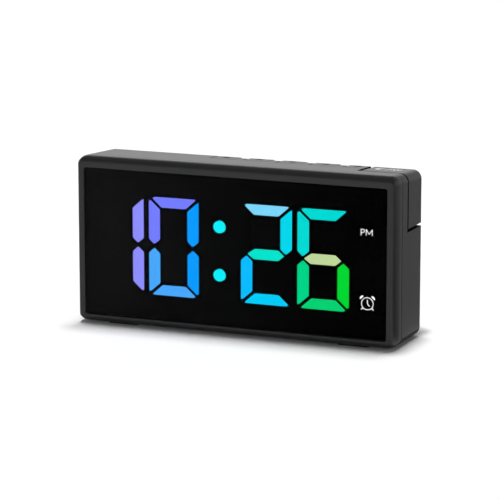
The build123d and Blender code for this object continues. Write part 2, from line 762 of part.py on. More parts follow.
def stem(x, depth, under_cap, under_shelf):
    """Key stem with a snap ring below the shelf that it passes through."""
    shank = post(x, depth, STEM_RADIUS, stem_low, under_cap)
    ring_high = under_shelf - FIT_GAP
    return shank + post(x, depth, BARB_RADIUS, ring_high - BARB_TALL, ring_high)


def top_key(left, right):
    """Key cap flush with the top and rear of the case, with an engraved bar."""
    x = (left + right) / 2
    cap_low = rear_top - KEY_CAP
    cap = case_form & block(left, right, key_front, 2 * CASE_DEPTH, cap_low, 2 * CASE_HEIGHT)
    rim = cap.faces().sort_by(Axis.Z)[-1].edges().sort_by(Axis.Y)[:-1]
    cap = fillet(rim, KEY_EASE)
    depth = CASE_DEPTH - KEY_MARK_BACK
    length, width = KEY_MARK_LENGTH / 2, KEY_MARK_WIDTH / 2
    low = top_at(depth) - KEY_MARK_DEEP
    cap -= block(x - length, x + length, depth - width, depth + width, low, CASE_HEIGHT)
    return cap + stem(x, key_stem_depth, cap_low + KEY_CAP / 2, shelf_low)


def snooze_key():
    """L-shaped shell round the corner, with a stem through the liner's roof."""
    form = case_form & snooze_region(0, 0)
    cut_faces = [form.faces().sort_by(axis)[0] for axis in (Axis.X, Axis.Y, Axis.Z)]
    rear_start = back(CASE_DEPTH - REAR_ROUND)
    edges = [edge for face in cut_faces for edge in face.edges() if edge.center().Y < rear_start]
    form = fillet([edge for edge in edges if edges.count(edge) == 1], SNOOZE_EASE)
    shell = form - case_block(SNOOZE_WALL, SNOOZE_WALL, WALL, 0, 2 * CASE_DEPTH, CORNER_RADIUS - SNOOZE_WALL)
    roof = top_at(snooze_stem_depth + BARB_RADIUS) - SNOOZE_WALL - KEY_ROOM - LINER
    cap = top_at(snooze_stem_depth) - SNOOZE_WALL / 2
    return shell + stem(snooze_stem, snooze_stem_depth, cap, roof)


def case_screws():
    """Four long screws from the rear."""
    seat = CASE_DEPTH - HEAD_SUNK
    length = seat - plate_back - SLIDE_GAP
    shape = screw(CASE_SHANK, length, CASE_HEAD, CASE_HEAD_THICK)
    return [rear_facing(x, height, seat) * shape for x, height in post_places]


def display_board_screws():
    """Four screws through the display board into the frame's bosses."""
    shape = screw(SMALL_SHANK, BOARD_THICK + THREAD_LENGTH, SMALL_HEAD, SMALL_HEAD_THICK)
    return [rear_facing(x, height, board_back) * shape for x, height in board_screws]


def main_board_screws():
    """Four screws from the front of the main board into its standoffs."""
    shape = screw(SMALL_SHANK, BOARD_THICK + THREAD_LENGTH - FIT_GAP, SMALL_HEAD, SMALL_HEAD_THICK)
    return [Pos(x, back(main_front), up(height)) * Rot(90, 0, 0) * shape for x, height in standoffs]


def key_board_screws():
    """Two screws from below into the posts of the key shelf."""
    shape = screw(SMALL_SHANK, BOARD_THICK + THREAD_LENGTH - FIT_GAP, SMALL_HEAD, SMALL_HEAD_THICK)
    return [Pos(x, back(key_stem_depth), up(key_board_low)) * Rot(180, 0, 0) * shape for x in key_posts]


def capacitors():
    """Two upright capacitors on the rear of the main board."""
    height = main_high - STANDOFF_EDGE - CAPACITOR_RADIUS
    rear = main_back + CAPACITOR_TALL
    places = [inlet_x - side * CAPACITOR_SPACING / 2 for side in (-1, 1)]
    return [rod(x, height, CAPACITOR_RADIUS, main_back, rear) for x in places]


def crystal():
    """Small can lying against the front of the main board."""
    height = MAIN_LOW + STANDOFF_EDGE + CRYSTAL_RADIUS
    centre = Pos(main_x, back(main_front - CRYSTAL_RADIUS), up(height))
    return centre * Rot(0, 90, 0) * Cylinder(CRYSTAL_RADIUS, CRYSTAL_LENGTH)


def save(name, shape):
    """Write one node, a single solid or a group of separate ones."""
    solids = list(shape) if isinstance(shape, (list, tuple)) else [shape]
    export_step(solids[0] if len(solids) == 1 else Compound(children=solids), f"parts/{name}.step")


def main():
    """Write every piece of the clock."""
    os.makedirs("parts", exist_ok=True)
    save("front_frame", front_frame())
    save("rear_housing", rear_housing())
    save("case_screws", case_screws())
    save("rubber_feet", feet())
    save("display_window", display_window())
    save("window_tape", window_tape())
    mask_front = plate_front - MASK_THICK
    save("segment_mask", segment_mask(mask_front))
    save("segment_reflector", segment_reflector())
    guide_back = plate_front + GUIDE_DEEP
    for name, (left, names) in digits.items():
        save(name, [prism(shape, mask_front, guide_back) for shape in placed_outlines(left, names)])
    save("colon_dots", [rod(x, height, DOT_RADIUS, mask_front, guide_back) for x, height in dots])
    save("pm_mark", pm_block(mask_front, guide_back))
    save("alarm_mark", rod(mark_x, alarm_height, ALARM_RADIUS, mask_front, guide_back))
    save("segment_leds", segment_leds())
    save("display_board", display_board())
    save("led_driver_chips", led_driver_chips())
    save("display_board_screws", display_board_screws())
    socket, pins = board_link()
    save("link_socket", socket)
    save("link_pins", pins)
    save("main_board", main_board())
    save("main_board_screws", main_board_screws())
    save("clock_chip", on_main_front(main_x, main_middle, CHIP_SIZE, CHIP_SIZE, CHIP_THICK))
    save("crystal", crystal())
    save("capacitors", capacitors())
    save("buzzer", buzzer())
    shell, tongue = power_inlet()
    save("power_socket", shell)
    save("power_socket_tongue", tongue)
    base, spring, clip = cell_holder()
    save("cell_base", base)
    save("cell_spring", spring)
    save("cell_clip", clip)
    save("coin_cell", rod(cell_x, cell_height, CELL_RADIUS, cell_front, cell_back))
    save("battery_door", battery_door())
    save("key_board", key_board())
    save("key_board_screws", key_board_screws())
    save("key_ribbon", key_ribbon())
    save("key_switches", [switch(x, key_stem_depth) for x in key_centres])
    save("snooze_switch", switch(snooze_stem, snooze_stem_depth))
    for name, (left, right) in zip(KEY_NAMES, key_sides):
        save(f"{name}_key", top_key(left, right))
        save(f"{name}_plunger", plunger((left + right) / 2, key_stem_depth))
    save("snooze_key", snooze_key())
    save("snooze_plunger", plunger(snooze_stem, snooze_stem_depth))
    print("case", CASE_WIDTH, CASE_DEPTH, CASE_HEIGHT + FOOT_PROUD)
    print("digit width", round(digit_width, 2), "height", round(digit_tall, 2), "lower edge", round(digit_low, 2))
    print("key centres", [round(x, 2) for x in key_centres])


main()
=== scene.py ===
# %% [markdown]
# # A bedside clock with lit digits
#
# The clock is a small black box that stands on a white table. Behind a smoked window its digits glow in
# colours that run from violet on the left to green on the right. The solid model gives every piece its
# size and place. This lesson dresses those pieces: it replaces the few that carry the look with finer
# surfaces worked out as arrays, and gives all of them a finish.

# %% Load the frame
import json

import bpy
import numpy as np
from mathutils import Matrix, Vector


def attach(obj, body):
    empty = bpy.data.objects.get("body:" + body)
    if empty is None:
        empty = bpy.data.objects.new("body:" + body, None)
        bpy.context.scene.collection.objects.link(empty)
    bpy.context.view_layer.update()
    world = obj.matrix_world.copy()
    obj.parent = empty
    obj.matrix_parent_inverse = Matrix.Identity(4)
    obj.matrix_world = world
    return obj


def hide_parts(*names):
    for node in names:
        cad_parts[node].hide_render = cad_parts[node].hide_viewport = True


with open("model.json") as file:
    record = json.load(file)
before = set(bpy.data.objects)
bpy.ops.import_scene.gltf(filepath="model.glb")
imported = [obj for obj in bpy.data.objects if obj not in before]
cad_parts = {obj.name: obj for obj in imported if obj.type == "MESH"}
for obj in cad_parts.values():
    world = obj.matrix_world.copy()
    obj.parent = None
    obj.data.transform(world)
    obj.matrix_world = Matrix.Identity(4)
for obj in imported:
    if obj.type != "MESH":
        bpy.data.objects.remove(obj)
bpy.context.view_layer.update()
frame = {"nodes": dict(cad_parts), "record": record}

# %% [markdown]
# ## Small tools
#
# Colours are written as the hex values a screen shows, and one function turns them into the linear values
# that light is reckoned in. Another adds a shader node with its settings and links, so that a finish reads
# as a few lines. The last two turn arrays of points and faces into an object, and let a piece of the clock
# ride on a body of the solid model. Sizes of the clock are in millimetres.

# %% Colour and node helpers
MM = 0.001


def linear(colour):
    """Linear RGBA of an sRGB hex value: divide by 12.92 when dark, otherwise raise to the power 2.4."""
    share = np.array([int(colour[i:i + 2], 16) for i in (1, 3, 5)]) / 255
    light = np.where(share <= 0.04045, share / 12.92, ((share + 0.055) / 1.055) ** 2.4)
    return (*light.tolist(), 1.0)


def add_node(tree, kind, values=None, links=None, stops=(), **settings):
    """Add one node: its settings, its inputs' values, the sockets that feed them and a ramp's stops."""
    made = tree.nodes.new(kind)
    for name, value in settings.items():
        setattr(made, name, value)
    for name, value in (values or {}).items():
        made.inputs[name].default_value = value
    for name, source in (links or {}).items():
        tree.links.new(source, made.inputs[name])
    for index, (position, colour) in enumerate(stops):
        made.color_ramp.elements[index].color = colour
        made.color_ramp.elements[index].position = position
    return made


def new_material(name):
    """An empty material and its node tree."""
    material = bpy.data.materials.new(name)
    material.use_nodes = True
    material.node_tree.nodes.clear()
    return material, material.node_tree


# %% Mesh helpers
def new_object(name, points, faces, *materials):
    """Object at the origin, from points in metres and faces that list their points."""
    mesh = bpy.data.meshes.new(name)
    mesh.from_pydata(np.asarray(points).tolist(), [], [list(face) for face in faces])
    mesh.update()
    for material in materials:
        mesh.materials.append(material)
    made = bpy.data.objects.new(name, mesh)
    bpy.context.scene.collection.objects.link(made)
    print(name, len(mesh.vertices), "points", len(mesh.polygons), "faces")
    return made


def add_piece(name, points, faces, material, body, stands_for=(), slot=None, sharp=30):
    """Piece of the clock from points in millimetres, smooth except at edges sharper than an angle."""
    piece = new_object(name, np.asarray(points) * MM, faces, material)
    piece.data.shade_smooth()
    piece.data.set_sharp_from_angle(angle=np.radians(sharp))
    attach(piece, body)
    if stands_for:
        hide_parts(*stands_for)
    return piece


# %% [markdown]
# ## Camera
#
# The photograph was taken with a long lens from about 1.1 metres away, a little to the right and above. A
# camera can be moved by eye until the edges fall into place, but its place follows more surely from the
# edges of the case themselves: 22.8 degrees round to the right and 11.4 degrees up.

# %% Camera
CAMERA_PLACE = (0.4127, -0.9781, 0.2479)
CAMERA_TURN, CAMERA_RISE = 22.81, 11.44
FOCAL_PIXELS, FRAME_PIXELS, SENSOR = 2642.5, 500, 36.0

camera_data = bpy.data.cameras.new("camera")
camera_data.sensor_width = SENSOR
camera_data.sensor_fit = "HORIZONTAL"
camera_data.lens = FOCAL_PIXELS * SENSOR / FRAME_PIXELS
camera_data.clip_end = 20
camera = bpy.data.objects.new("camera", camera_data)
camera.location = CAMERA_PLACE
camera.rotation_euler = np.radians((90 - CAMERA_RISE, 0, CAMERA_TURN))
bpy.context.scene.collection.objects.link(camera)
bpy.context.scene.camera = camera
bpy.context.scene.view_settings.view_transform = "Standard"
print("lens", round(camera_data.lens, 1), "mm")

# %% [markdown]
# ## Black plastic
#
# The case and keys are moulded ABS. The mould was spark eroded, which leaves a fine even grain: the black is
# soft and matt, and only at a low angle does it mirror the white room. A painted map would have to be laid
# out on every piece, so noise in the piece's own coordinates draws the grain instead. It is about a tenth of
# a millimetre on the real part, and drawn at a third of a millimetre so that a close view can show it.

# %% Moulded plastic
GRAIN_MM, RELIEF_MM, MOTTLE_MM = 0.33, 0.05, 9.0
GRAIN_GLOSS = 0.04


def moulded_plastic(name, colour, dark, rough, specular, bump=0.05, grain=GRAIN_MM):
    """Plastic with a grain: a fine noise bends the surface and varies its gloss, a broad one its colour."""
    material, tree = new_material(name)
    place = add_node(tree, "ShaderNodeTexCoord").outputs["Object"]
    fine = add_node(tree, "ShaderNodeTexNoise",
                    {"Scale": 1 / (grain * MM), "Detail": 3.0, "Roughness": 0.6}, {"Vector": place})
    broad = add_node(tree, "ShaderNodeTexNoise", {"Scale": 1 / (MOTTLE_MM * MM), "Detail": 4.0},
                     {"Vector": place})
    tone = add_node(tree, "ShaderNodeValToRGB", links={"Fac": broad.outputs["Fac"]},
                    stops=((0.3, linear(dark)), (0.7, linear(colour))))
    gloss = add_node(tree, "ShaderNodeMapRange",
                     {"To Min": rough - GRAIN_GLOSS, "To Max": rough + GRAIN_GLOSS},
                     {"Value": fine.outputs["Fac"]})
    relief = add_node(tree, "ShaderNodeBump", {"Strength": bump, "Distance": RELIEF_MM * MM},
                      {"Height": fine.outputs["Fac"]})
    shader = add_node(tree, "ShaderNodeBsdfPrincipled", {"Specular IOR Level": specular},
                      {"Base Color": tone.outputs["Color"], "Roughness": gloss.outputs["Result"],
                       "Normal": relief.outputs["Normal"]})
    add_node(tree, "ShaderNodeOutputMaterial", links={"Surface": shader.outputs["BSDF"]})
    return material


# %% Plastics of the clock
# Skin of the case and the keys: soft black that pales where it is seen at a low angle.
case_black = moulded_plastic("abs_spark_eroded_black", "#242425", "#212122", 0.42, 0.36)
key_black = moulded_plastic("abs_keys_black", "#252526", "#222223", 0.42, 0.36)
# Slot walls: a much darker black, painted shade, with little sheen. Lower edges: the skin's black, duller.
slot_shade_black = moulded_plastic("abs_slot_painted_shade_black", "#0b0b0b", "#090909", 0.8, 0.02)
edge_black = moulded_plastic("abs_coarse_edge_black", "#242425", "#212122", 0.6, 0.1)
# Parts inside and below: nylon with a faint sheen, greyer epoxy, dull rubber with a coarse grain.
nylon_black = moulded_plastic("nylon_moulded_black", "#232323", "#1d1d1d", 0.5, 0.4)
epoxy_black = moulded_plastic("epoxy_chip_black", "#262626", "#1e1e1e", 0.55, 0.4)
rubber_black = moulded_plastic("rubber_moulded_black", "#202020", "#1a1a1a", 0.85, 0.25, 0.2, 0.5)
# Display: film and reflector that vanish beside the lit bars, dull foam, cream lamp bodies.
mask_black = moulded_plastic("polyester_mask_black", "#030303", "#020202", 0.7, 0.03)
reflector_black = moulded_plastic("reflector_abs_black", "#0c0c0c", "#0a0a0a", 0.7, 0.1)
tape_black = moulded_plastic("foam_tape_black", "#141414", "#101010", 0.9, 0.1, 0.3, 0.6)
led_cream = moulded_plastic("led_package_cream", "#d8d2bd", "#cfc8b2", 0.4, 0.5)
# Pad print: a thin matt white ink.
print_white = moulded_plastic("pad_print_white", "#e4e4e2", "#d8d8d6", 0.5, 0.3)
print("plastics ready")

# %% [markdown]
# ## Metals and boards inside
#
# Screws are zinc plated, the socket and contacts are tinned, the coin cell is nickel plated. Boards are glass
# laminate under green solder resist. The ribbon is a pale film with grey conductors a millimetre apart. Few
# of these show, so two plain finishes serve them all: streaks for the metals, lines for the sheets.

# %% Plated metal
METAL_GLOSS, STREAK_STRETCH = 0.08, 0.15


def plated_metal(name, colour, rough, streak_mm):
    """Bright metal whose gloss is streaked by a noise stretched along Z."""
    material, tree = new_material(name)
    place = add_node(tree, "ShaderNodeTexCoord").outputs["Object"]
    drawn = add_node(tree, "ShaderNodeMapping", {"Scale": (1, 1, STREAK_STRETCH)}, {"Vector": place})
    streaks = add_node(tree, "ShaderNodeTexNoise", {"Scale": 1 / (streak_mm * MM), "Detail": 3.0},
                       {"Vector": drawn.outputs["Vector"]})
    gloss = add_node(tree, "ShaderNodeMapRange",
                     {"To Min": rough - METAL_GLOSS, "To Max": rough + METAL_GLOSS},
                     {"Value": streaks.outputs["Fac"]})
    shader = add_node(tree, "ShaderNodeBsdfPrincipled", {"Base Color": linear(colour), "Metallic": 1.0},
                      {"Roughness": gloss.outputs["Result"]})
    add_node(tree, "ShaderNodeOutputMaterial", links={"Surface": shader.outputs["BSDF"]})
    return material


# Cool grey zinc, warmer tin and nickel, pale drawn aluminium.
zinc_plate = plated_metal("steel_zinc_plated", "#c9cbcd", 0.32, 0.4)
tin_plate = plated_metal("steel_tinned", "#d2d0ca", 0.3, 0.5)
nickel_plate = plated_metal("steel_nickel_plated", "#cfcabf", 0.25, 0.6)
can_metal = plated_metal("aluminium_drawn_can", "#d5d7da", 0.35, 0.5)
print("metals ready")

# %% Boards and ribbon
LINE_RELIEF_MM = 0.03
WAVE_RADIANS = 20


def striped_sheet(name, base, stripe, pitch_mm, rough):
    """Sheet with lines across X, one in each pitch: the wave node turns by 20 radians in each unit."""
    material, tree = new_material(name)
    place = add_node(tree, "ShaderNodeTexCoord").outputs["Object"]
    lines = add_node(tree, "ShaderNodeTexWave",
                     {"Scale": 2 * np.pi / (WAVE_RADIANS * pitch_mm * MM), "Distortion": 0.4},
                     {"Vector": place}, wave_type="BANDS", bands_direction="X")
    tone = add_node(tree, "ShaderNodeValToRGB", links={"Fac": lines.outputs["Fac"]},
                    stops=((0.35, linear(stripe)), (0.5, linear(base))))
    relief = add_node(tree, "ShaderNodeBump", {"Strength": 0.2, "Distance": LINE_RELIEF_MM * MM},
                      {"Height": lines.outputs["Fac"]})
    shader = add_node(tree, "ShaderNodeBsdfPrincipled", {"Roughness": rough},
                      {"Base Color": tone.outputs["Color"], "Normal": relief.outputs["Normal"]})
    add_node(tree, "ShaderNodeOutputMaterial", links={"Surface": shader.outputs["BSDF"]})
    return material


# Green lacquer that shows the tracks under it, and a pale film with grey lines.
board_green = striped_sheet("laminate_solder_resist_green", "#0f4a26", "#1b6a38", 1.6, 0.35)
ribbon_film = striped_sheet("ribbon_film_pale", "#d9d2c0", "#8f8f8f", 1.0, 0.4)
print("boards and ribbon ready")

# %% [markdown]
# ## Give every solid its finish
#
# The record names a material slot for each node. One table turns those slots into the finishes above, which
# is shorter and surer than a line for each node. The slots that it leaves out belong to nodes that are
# replaced further on, and get a plain black.

# %% Finishes of the solid nodes
finish_of_slot = {
    "black_abs": case_black, "black_abs_keys": key_black, "black_rubber": rubber_black,
    "black_tape": tape_black, "mask_film": mask_black, "reflector_plastic": reflector_black,
    "led_package": led_cream, "green_laminate": board_green, "ribbon_film": ribbon_film,
    "chip_epoxy": epoxy_black, "connector_nylon": nylon_black, "switch_plastic": nylon_black,
    "plunger_plastic": nylon_black, "zinc_steel": zinc_plate, "tin_can": tin_plate,
    "can_aluminium": can_metal, "cell_steel": nickel_plate,
}
for part in frame["record"]["subparts"]:
    finish = finish_of_slot.get(part["material_slot"], reflector_black)
    mesh = frame["nodes"][part["node"]].data
    mesh.materials.clear()
    mesh.materials.append(finish)

# %% [markdown]
# The walls of the slot round the snooze key get a much darker black, which is painted shade, and mirror
# almost nothing, so the slot reads as a dark line. The lower edges of the housing have a duller finish than
# its skin. New pieces could cover those faces, but the solids have the right shape already. So their faces
# are sorted all at once, by where their middles lie and by the way they look, and the chosen ones get
# another finish.

# %% Painted shade on the walls of the snooze slot, and dull lower edges
SLOT_LOW, SLOT_HIGH = np.array([48.2, -2.0, 40.0]), np.array([69.7, 15.3, 69.0])
LOWER_EDGE, DOWNWARD = 4.2, -0.15
SQUARELY, RIGHTWARD = -0.9, 0.4


def face_rows(mesh, name):
    """Middle or normal of every face of a mesh, one row each."""
    values = np.empty(3 * len(mesh.polygons))
    mesh.polygons.foreach_get(name, values)
    return values.reshape(-1, 3)


def refinish(mesh, chosen, finish):
    """Give the chosen faces of a mesh another finish."""
    mesh.materials.append(finish)
    index = np.empty(len(chosen), np.int32)
    mesh.polygons.foreach_get("material_index", index)
    index[chosen] = len(mesh.materials) - 1
    mesh.polygons.foreach_set("material_index", index)
    print("refinished", mesh.name, int(chosen.sum()), "of", len(chosen), "faces")


housing, snooze, light = [frame["nodes"][name].data for name in ("rear_housing", "snooze_key", "light_key")]
middles, normals = face_rows(housing, "center") / MM, face_rows(housing, "normal")
refinish(housing, np.all((middles > SLOT_LOW) & (middles < SLOT_HIGH), axis=1), slot_shade_black)
refinish(housing, (middles[:, 2] < LOWER_EDGE) & (normals[:, 2] < DOWNWARD), edge_black)
# Of the snooze key the faces that look squarely left, forward or down, and of the light key those that look
# to the right, line the slot and get its painted shade.
refinish(snooze, face_rows(snooze, "normal").min(axis=1) < SQUARELY, slot_shade_black)
refinish(light, face_rows(light, "normal")[:, 0] > RIGHTWARD, slot_shade_black)

# %% [markdown]
# ## Bezel
#
# The front frame has a flat rim round the window. At the top and bottom the rim rolls over in a quarter of an
# ellipse. At the two sides it turns in a tight arc and then in a wide one, a slight crown that goes on to the
# seam. A bevel has one profile all round and can't do both. A loft can: each ring is a rounded rectangle, its
# points carry the direction they face, and the depth and inset of the roll are blended between side and top
# by that direction.

# %% Rings and lofts
CASE_WIDTH, CASE_HEIGHT, CASE_DEPTH, TOP_DROP, FOOT = 140.0, 70.0, 31.2, 1.8, 0.4
CORNER, ARC_POINTS = 3.6, 14
RING_POINTS = 4 * ARC_POINTS
OPENING, OPENING_CORNER = np.array([3.6, 4.85, 3.45]), 1.0


def ring(left, right, low, high, radius):
    """Rounded rectangle in X, Z and direction: four arcs, each from one side's direction to the next."""
    corner = np.repeat(np.arange(4), ARC_POINTS)
    turn = np.radians(90 * corner + np.tile(np.linspace(0, 90, ARC_POINTS), 4))
    centre_x = np.where((corner == 0) | (corner == 3), right - radius, left + radius)
    centre_z = np.where(corner < 2, high - radius, low + radius)
    return centre_x + radius * np.cos(turn), centre_z + radius * np.sin(turn), turn


def outer_ring(depth_side, depth_top, inset_side, inset_top):
    """Ring on the case's skin, with its own depth and inset at the sides and at the top and bottom."""
    x, z, turn = ring(-CASE_WIDTH / 2, CASE_WIDTH / 2, 0, CASE_HEIGHT, CORNER)
    side = np.cos(turn) ** 2
    depth = depth_side * side + depth_top * (1 - side)
    inset = inset_side * side + inset_top * (1 - side)
    x = x - inset * np.cos(turn)
    z = z - inset * np.sin(turn)
    z = z - np.clip(z / CASE_HEIGHT, 0, 1) * TOP_DROP * depth / CASE_DEPTH
    return np.stack([x, depth - CASE_DEPTH / 2, z + FOOT], axis=-1)


def opening_ring(inset, radius, depth):
    """Ring at one depth, drawn in from the opening by one inset, or by one each at side, top and bottom."""
    side, top, low = OPENING + inset
    x, z, _ = ring(side - CASE_WIDTH / 2, CASE_WIDTH / 2 - side, low, CASE_HEIGHT - top, radius)
    return np.stack([x, np.full_like(x, depth - CASE_DEPTH / 2), z + FOOT], axis=-1)


def loft_faces(rings, points, closed=False):
    """Quads between neighbouring rings, each ring running once round."""
    row = np.arange(rings if closed else rings - 1)[:, None]
    column = np.arange(points)[None, :]
    following, beside = (row + 1) % rings, (column + 1) % points
    corners = [row * points + column, row * points + beside,
               following * points + beside, following * points + column]
    return np.stack(np.broadcast_arrays(*corners), axis=-1).reshape(-1, 4)


# %% Profiles of the roll
FRAME_DEPTH, SEAM = 8.1, 0.06
SKIN_DEPTH = FRAME_DEPTH - SEAM
ROLL_IN, ROLL_DEEP = 2.6, 5.0
KNEE, SEAM_TURN, TIGHT = np.radians(75), np.radians(95), 1.0
CROWN = (SKIN_DEPTH - TIGHT * (1 - np.cos(KNEE))) / (np.cos(KNEE) - np.cos(SEAM_TURN))


def side_profile(turn):
    """Depth and inset where the side faces a turn from the front: tight arc to the knee, then a wide one."""
    tight, wide = np.minimum(turn, KNEE), np.maximum(turn, KNEE)
    across = TIGHT * np.sin(tight) + CROWN * (np.sin(wide) - np.sin(KNEE))
    depth = TIGHT * (1 - np.cos(tight)) + CROWN * (np.cos(KNEE) - np.cos(wide))
    return depth, TIGHT * np.sin(KNEE) + CROWN * (1 - np.sin(KNEE)) - across


def top_profile(share):
    """Depth and inset at the top: straight for a fifth of the way, then a quarter of an ellipse."""
    straight, turn = np.minimum(share * 5, 1), np.pi / 2 * np.maximum(share * 5 - 1, 0) / 4
    depth = SKIN_DEPTH + (ROLL_DEEP - SKIN_DEPTH) * straight - ROLL_DEEP * np.sin(turn)
    return depth, ROLL_IN * (1 - np.cos(turn))


print("crown radius", round(CROWN, 2), "mm")

# %% Bezel
WALL, SEAM_STEP, SEAM_FACE = 2.0, 0.2, FRAME_DEPTH - 0.02
OPENING_ROUND = 0.2
PLATE_FRONT, PLATE_BACK, PLATE_RIM = 2.0, 3.6, np.array([4.0, 8.8, 8.6])
CROWN_STEPS, TIGHT_STEPS, ROUND_STEPS = 9, 13, 5

rings = [outer_ring(SEAM_FACE, SEAM_FACE, inset, inset) for inset in (WALL, SEAM_STEP)]
rings.append(outer_ring(SKIN_DEPTH, SKIN_DEPTH, SEAM_STEP, SEAM_STEP))
side_turns = np.concatenate([np.linspace(SEAM_TURN, KNEE, CROWN_STEPS),
                             np.linspace(KNEE, 0, TIGHT_STEPS)[1:]])
for turn, share in zip(side_turns, np.linspace(0, 1, len(side_turns))):
    (depth_side, inset_side), (depth_top, inset_top) = side_profile(turn), top_profile(share)
    rings.append(outer_ring(depth_side, depth_top, inset_side, inset_top))
for turn in np.linspace(0, np.pi / 2, ROUND_STEPS):
    outset, depth = OPENING_ROUND * (1 - np.sin(turn)), OPENING_ROUND * (1 - np.cos(turn))
    rings.append(opening_ring(-outset, OPENING_CORNER + outset, depth))
rings.append(opening_ring(0.0, OPENING_CORNER, PLATE_FRONT))
rings += [opening_ring(PLATE_RIM, OPENING_CORNER, depth) for depth in (PLATE_FRONT, PLATE_BACK)]
rings.append(outer_ring(PLATE_BACK, PLATE_BACK, WALL, WALL))
add_piece("bezel", np.concatenate(rings), loft_faces(len(rings), RING_POINTS, closed=True), case_black,
          "clock", ["front_frame"], "black_abs")

# %% [markdown]
# ## Smoked window
#
# The window is a sheet of smoked acrylic with a low-reflection face: it is nearly black and mirrors almost
# nothing. A faint white diffuse layer, mixed in more towards the left, paints a pale reflection there. An
# opaque black sheet would hide the digits, so the sheet is clear and tinted. It halves their light, and they
# are made twice as bright behind it. Its edges are eased so that the rim catches a thread of light, and it
# ends a hair in front of the print on its back, which would otherwise cover that painted reflection.

# %% Smoked acrylic
WINDOW_TINT, WINDOW_IOR = 0.5, 1.05
# Painted reflection: weight of a white diffuse layer at the window's left, falling to nothing at the right.
PAINTED_REFLECTION, PAINTED_REFLECTION_LEFT, PAINTED_REFLECTION_RIGHT = 0.007, -66 * MM, 40 * MM
SMEAR_MM, SMEAR_GLOSS = 20.0, 0.012

window_glass, tree = new_material("acrylic_smoked_clear")
place = add_node(tree, "ShaderNodeTexCoord").outputs["Object"]
smear = add_node(tree, "ShaderNodeTexNoise", {"Scale": 1 / (SMEAR_MM * MM), "Detail": 3.0}, {"Vector": place})
gloss = add_node(tree, "ShaderNodeMapRange", {"To Min": 0.0, "To Max": SMEAR_GLOSS},
                 {"Value": smear.outputs["Fac"]})
glass = add_node(tree, "ShaderNodeBsdfPrincipled",
                 {"Base Color": (WINDOW_TINT, WINDOW_TINT, WINDOW_TINT, 1), "Transmission Weight": 1.0,
                  "IOR": WINDOW_IOR}, {"Roughness": gloss.outputs["Result"]})
# A white diffuse layer, mixed in more towards the left, paints a pale reflection on the window.
across = add_node(tree, "ShaderNodeSeparateXYZ", links={"Vector": place}).outputs["X"]
reflection_fade = add_node(tree, "ShaderNodeMapRange",
                  {"From Min": PAINTED_REFLECTION_LEFT, "From Max": PAINTED_REFLECTION_RIGHT, "To Min": PAINTED_REFLECTION, "To Max": 0.0},
                  {"Value": across})
painted_reflection = add_node(tree, "ShaderNodeBsdfDiffuse", {"Color": linear("#f0f0f0")})
shader = add_node(tree, "ShaderNodeMixShader",
                  links={0: reflection_fade.outputs["Result"], 1: glass.outputs["BSDF"], 2: painted_reflection.outputs["BSDF"]})
add_node(tree, "ShaderNodeOutputMaterial", links={"Surface": shader.outputs["Shader"]})
print("smoked acrylic passes", WINDOW_TINT, "of the light")

# %% Window
WINDOW_RECESS, WINDOW_THICK, WINDOW_GAP, EASE = 0.3, 1.46, 0.15, 0.15

steps = [(EASE, 0.0), (0.0, EASE), (0.0, WINDOW_THICK - EASE), (EASE, WINDOW_THICK)]
rings = [opening_ring(WINDOW_GAP + inset, OPENING_CORNER - WINDOW_GAP - inset, WINDOW_RECESS + depth)
         for inset, depth in steps]
faces = loft_faces(len(rings), RING_POINTS).tolist()
faces += [list(range(RING_POINTS)), list(range(3 * RING_POINTS, 4 * RING_POINTS))[::-1]]
add_piece("smoked_window", np.concatenate(rings), faces, window_glass, "clock", ["display_window"],
          "smoked_acrylic", sharp=20)

# %% Black print on the back of the window
PRINT_THICK, PRINT_EDGE, PRINT_RIM = 0.02, 0.3, np.array([4.2, 9.0, 8.8])

print_front = WINDOW_RECESS + WINDOW_THICK + PRINT_THICK
print_back = print_front + PRINT_THICK
rings = [opening_ring(inset, OPENING_CORNER - PRINT_EDGE, depth) for inset, depth in (
    (PRINT_EDGE, print_front), (PRINT_RIM, print_front), (PRINT_RIM, print_back), (PRINT_EDGE, print_back))]
add_piece("window_border_print", np.concatenate(rings), loft_faces(len(rings), RING_POINTS, closed=True),
          mask_black, "clock", sharp=20)

# %% [markdown]
# ## Digits
#
# Each digit has seven bars: moulded light guides that end flush with a black mask. The bars have mitred ends
# and slightly rounded corners. They could be cut as one sheet with a picture of the digits on it, but real
# bars keep their edges in a close view. The rounding replaces every corner by a short arc, for all corners of
# a bar at once. A colour attribute holds the light of each bar, so one finish serves them all, lit or not.

# %% Light guide
CLOUD_MM, CLOUD_LOW, CLOUD_HIGH = 3.0, 0.96, 1.04

light_guide, tree = new_material("acrylic_light_guide_lit")
colour = add_node(tree, "ShaderNodeAttribute", attribute_name="glow").outputs["Color"]
place = add_node(tree, "ShaderNodeTexCoord").outputs["Object"]
cloud = add_node(tree, "ShaderNodeTexNoise", {"Scale": 1 / (CLOUD_MM * MM), "Detail": 2.0}, {"Vector": place})
spread = add_node(tree, "ShaderNodeMapRange", {"To Min": CLOUD_LOW, "To Max": CLOUD_HIGH},
                  {"Value": cloud.outputs["Fac"]})
glow = add_node(tree, "ShaderNodeVectorMath", links={0: colour, 1: spread.outputs["Result"]},
                operation="MULTIPLY")
shader = add_node(tree, "ShaderNodeBsdfPrincipled",
                  {"Base Color": linear("#030303"), "Roughness": 0.7, "Specular IOR Level": 0.03,
                   "Emission Strength": 1 / WINDOW_TINT},
                  {"Emission Color": glow.outputs["Vector"]})
add_node(tree, "ShaderNodeOutputMaterial", links={"Surface": shader.outputs["BSDF"]})
print("light guide glows", 1 / WINDOW_TINT, "times its colour")

# %% Outlines of the bars
UPRIGHT, LEVEL, GAP = 5.2, 4.6, 0.68
DIGIT_WIDTH, DIGIT_TALL = 22.433, 41.25
WAIST, WAIST_GAP, TIP_LEFT, TIP_RIGHT = 20.72, 0.45, 0.75, 0.15
ARC_REACH = 1.1


